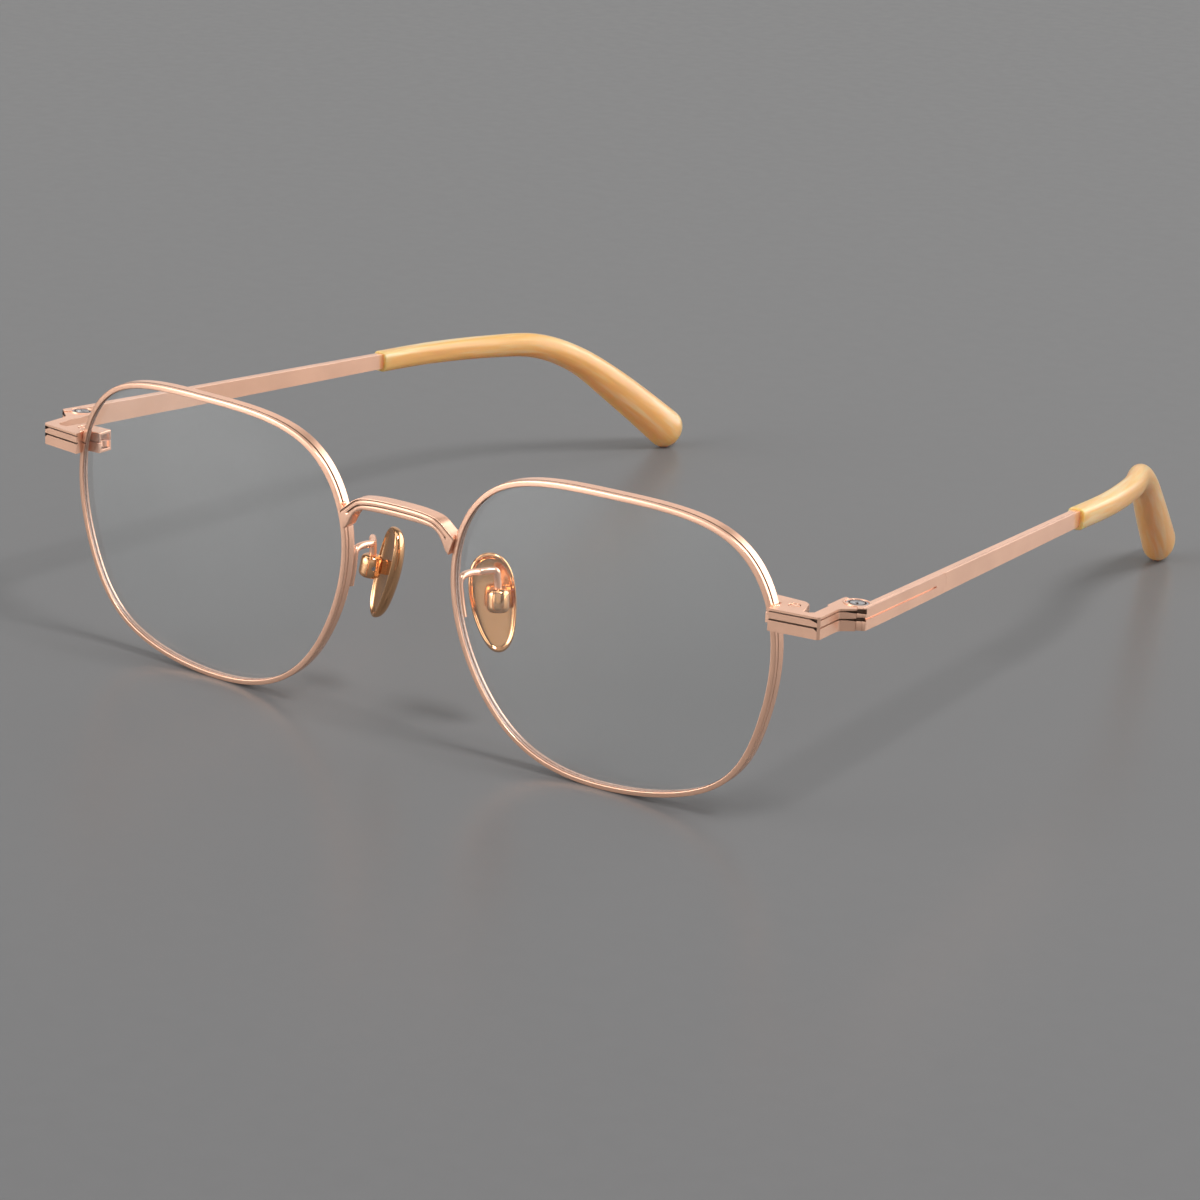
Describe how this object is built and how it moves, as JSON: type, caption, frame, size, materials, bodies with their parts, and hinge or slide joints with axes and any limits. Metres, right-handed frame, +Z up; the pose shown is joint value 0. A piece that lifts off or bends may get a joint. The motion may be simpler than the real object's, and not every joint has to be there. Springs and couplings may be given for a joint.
{
  "type": "eyeglasses",
  "caption": "Full-rim metal eyeglasses with rounded square lenses, temples that fold on screw hinges, rocking metal nose pads and acetate temple tips.",
  "frame": {"origin": "On the floor under the middle of the footprint: midway between the two temples in X, and midway between the front of the bridge or rims and the ends of the temple tips in Y. The rims and the temple tips stand on z = 0.", "axes": "+X towards the wearer's left, -Y forwards, the way the lenses face, so the temples run to +Y, and +Z up as the glasses stand on a table with the temples open."},
  "size_m": [0.1362, 0.1408, 0.0418],
  "materials": {
    "rose_gold": "polished rose gold plating",
    "pads": "polished gold plating",
    "screws": "plain steel",
    "tips": "polished honey acetate, slightly translucent",
    "lens": "clear, without power"
  },
  "bodies": {
    "front": {"left_rim": "rose_gold", "right_rim": "rose_gold", "left_lens": "lens", "right_lens": "lens", "bridge": "rose_gold", "left_end_piece": "rose_gold", "right_end_piece": "rose_gold", "left_upper_rim_lock": "rose_gold", "right_upper_rim_lock": "rose_gold", "left_lower_rim_lock": "rose_gold", "right_lower_rim_lock": "rose_gold", "left_rim_screw": "screws", "right_rim_screw": "screws", "left_hinge_washers": "screws", "right_hinge_washers": "screws", "left_pad_arm": "rose_gold", "right_pad_arm": "rose_gold", "left_pad_box": "pads", "right_pad_box": "pads", "left_pad_pin": "screws", "right_pad_pin": "screws"},
    "left_temple": {"left_temple": "rose_gold", "left_temple_plate": "rose_gold", "left_temple_tip": "tips", "left_hinge_screw": "screws"},
    "right_temple": {"right_temple": "rose_gold", "right_temple_plate": "rose_gold", "right_temple_tip": "tips", "right_hinge_screw": "screws"},
    "left_pad": {"left_nose_pad": "pads"},
    "right_pad": {"right_nose_pad": "pads"}
  },
  "joints": [
    {"name": "left_temple_fold", "type": "hinge", "parent": "front", "child": "left_temple", "pos_m": [0.06568, -0.0588, 0.03108], "axis": [0, 0.0732, 0.9973], "range_deg": [0, 70]},
    {"name": "right_temple_fold", "type": "hinge", "parent": "front", "child": "right_temple", "pos_m": [-0.06568, -0.0588, 0.03108], "axis": [0, -0.0732, -0.9973], "range_deg": [0, 81]},
    {"name": "left_pad_rock", "type": "hinge", "parent": "front", "child": "left_pad", "pos_m": [0.0111, -0.06068, 0.0197], "axis": [-0.7934, -0.6088, 0], "range_deg": [-10, 10]},
    {"name": "right_pad_rock", "type": "hinge", "parent": "front", "child": "right_pad", "pos_m": [-0.0111, -0.06068, 0.0197], "axis": [0.7934, -0.6088, 0], "range_deg": [-10, 10]}
  ]
}
